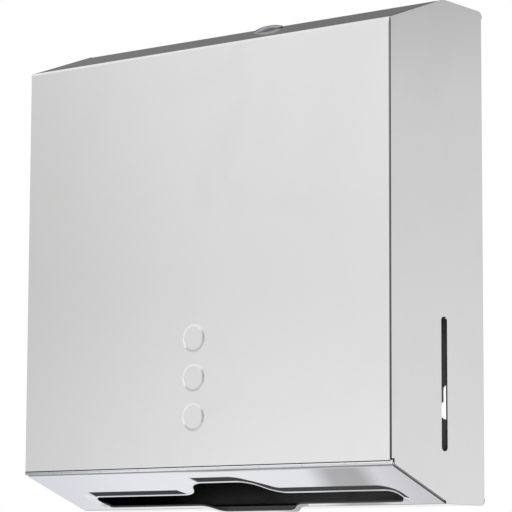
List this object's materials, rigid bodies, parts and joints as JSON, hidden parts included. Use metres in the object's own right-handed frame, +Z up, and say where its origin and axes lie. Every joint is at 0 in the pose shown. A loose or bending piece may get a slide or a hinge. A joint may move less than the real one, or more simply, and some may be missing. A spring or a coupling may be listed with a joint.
{
  "type": "paper towel dispenser",
  "caption": "Wall-hung folded paper towel dispenser in polished sheet steel, with a drop-down front cover, cam lock, viewing slots and a pressed towel opening underneath.",
  "frame": {"origin": "on the wall plane, in the middle of the four keyhole entries and of the cabinet's height and width", "axes": "+Z up, +X to the right seen from the front, +Y from the front towards the wall"},
  "size_m": [0.28, 0.1004, 0.3034],
  "materials": {
    "polished_steel": "bright polished stainless sheet, smooth and softly mirror-like",
    "inner_steel": "plain mill-finish stainless sheet",
    "hinge_steel": "rolled stainless hinge strip",
    "rivet_alloy": "plain aluminium blind rivets",
    "lock_chrome": "bright plated lock parts",
    "lock_zinc": "zinc plated steel",
    "key_plug": "nickel plated brass plug"
  },
  "bodies": {
    "cabinet": {"back_plate": "inner_steel", "left_side_panel": "polished_steel", "right_side_panel": "polished_steel", "top_plate": "polished_steel", "towel_tray": "polished_steel", "lock_strike": "inner_steel", "hinge_body_leaf": "hinge_steel", "hinge_pin": "hinge_steel", "hinge_rivets": "rivet_alloy"},
    "cover": {"front_cover": "polished_steel", "hinge_cover_leaf": "hinge_steel", "lock_housing": "lock_chrome", "lock_washer": "lock_zinc", "lock_nut": "lock_zinc"},
    "lock": {"lock_plug": "key_plug", "lock_cam": "lock_zinc", "cam_washer": "lock_zinc", "cam_screw": "lock_zinc"}
  },
  "joints": [
    {"name": "cover_hinge", "type": "hinge", "parent": "cabinet", "child": "cover", "pos_m": [0, -0.09875, -0.12795], "axis": [1, 0, 0], "range_deg": [0, 175]},
    {"name": "lock_turn", "type": "hinge", "parent": "cover", "child": "lock", "pos_m": [0.018, -0.055, 0.14558], "axis": [0, -0.3457, 0.9383], "range_deg": [0, 90]}
  ]
}
